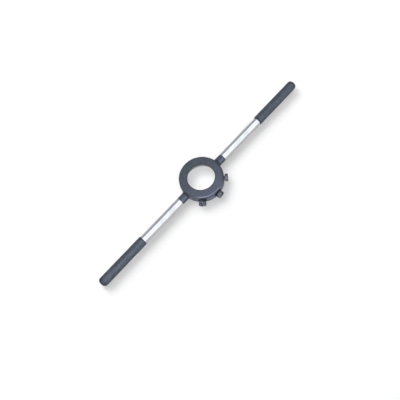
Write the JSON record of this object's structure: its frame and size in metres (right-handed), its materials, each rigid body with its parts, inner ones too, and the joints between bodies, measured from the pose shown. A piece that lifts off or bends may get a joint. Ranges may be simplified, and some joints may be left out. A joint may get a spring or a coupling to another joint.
{
  "type": "die stock handle",
  "caption": "Stock for round threading dies: a ring head with a stepped die pocket, bright rod handles with dark knurled grips, and slotted screws that hold and open the die.",
  "frame": {"origin": "centre of the die pocket's mouth, in the plane of the head's lower face", "axes": "+Z along the pocket's axis towards the lip, +X along the handles, and the three screws on the -Y side"},
  "size_m": [0.32, 0.0557, 0.0135],
  "materials": {
    "head_casting": "satin blue-grey enamel on a fine cast skin",
    "bright_rod": "bright turned and plated",
    "dark_grip": "blackened fine knurl",
    "screw_steel": "blackened, worn bright on edges"
  },
  "bodies": {
    "stock": {"head": "head_casting", "rod_right": "bright_rod", "rod_left": "bright_rod", "grip_right": "dark_grip", "grip_left": "dark_grip"},
    "clamp_screw_right": {"clamp_screw_right": "screw_steel"},
    "spreading_screw": {"spreading_screw": "screw_steel"},
    "clamp_screw_left": {"clamp_screw_left": "screw_steel"}
  },
  "joints": [
    {"name": "clamp_screw_right_travel", "type": "slide", "parent": "stock", "child": "clamp_screw_right", "axis": [0.7071, -0.7071, 0], "range_m": [-0.0018, 0.0022]},
    {"name": "spreading_screw_travel", "type": "slide", "parent": "stock", "child": "spreading_screw", "axis": [0, -1, 0], "range_m": [-0.0023, 0.0009]},
    {"name": "clamp_screw_left_travel", "type": "slide", "parent": "stock", "child": "clamp_screw_left", "axis": [-0.7071, -0.7071, 0], "range_m": [-0.0034, 0.0006]}
  ]
}
